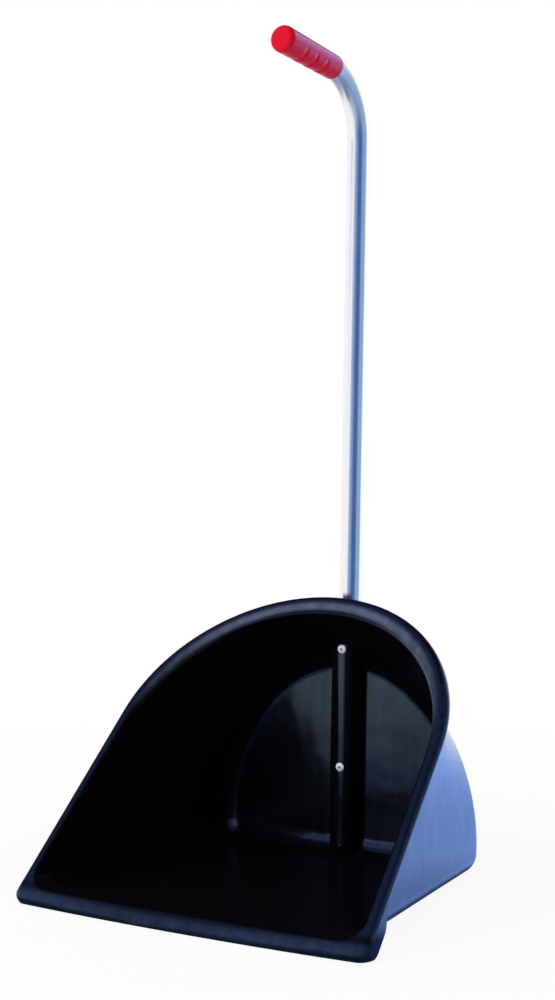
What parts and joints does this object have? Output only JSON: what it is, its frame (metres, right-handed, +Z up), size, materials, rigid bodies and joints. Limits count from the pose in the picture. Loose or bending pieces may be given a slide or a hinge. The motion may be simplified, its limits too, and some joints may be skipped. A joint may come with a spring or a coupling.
{
  "type": "manure scoop",
  "caption": "Long-handled scoop: a moulded pan with a sloping arched mouth and rolled rim, riveted to an upright bent tube that ends in a finger-shaped hand grip.",
  "frame": {"origin": "on the ground, in the middle of the scoop's width and of its whole length from lip to tube bend", "axes": "+X across the pan, to the right as seen from the mouth; +Y from the mouth to the back; +Z up along the handle"},
  "size_m": [0.3924, 0.3712, 0.8692],
  "materials": {
    "pan_plastic": "moulded black, satin",
    "tube_metal": "drawn, bright",
    "grip_plastic": "moulded red, soft gloss",
    "rivet_metal": "bright",
    "mandrel_steel": "broken stem"
  },
  "bodies": {
    "root": {"scoop_pan": "pan_plastic", "handle_tube": "tube_metal", "hand_grip": "grip_plastic", "upper_rivet_body": "rivet_metal", "upper_rivet_mandrel": "mandrel_steel", "lower_rivet_body": "rivet_metal", "lower_rivet_mandrel": "mandrel_steel"}
  },
  "joints": []
}
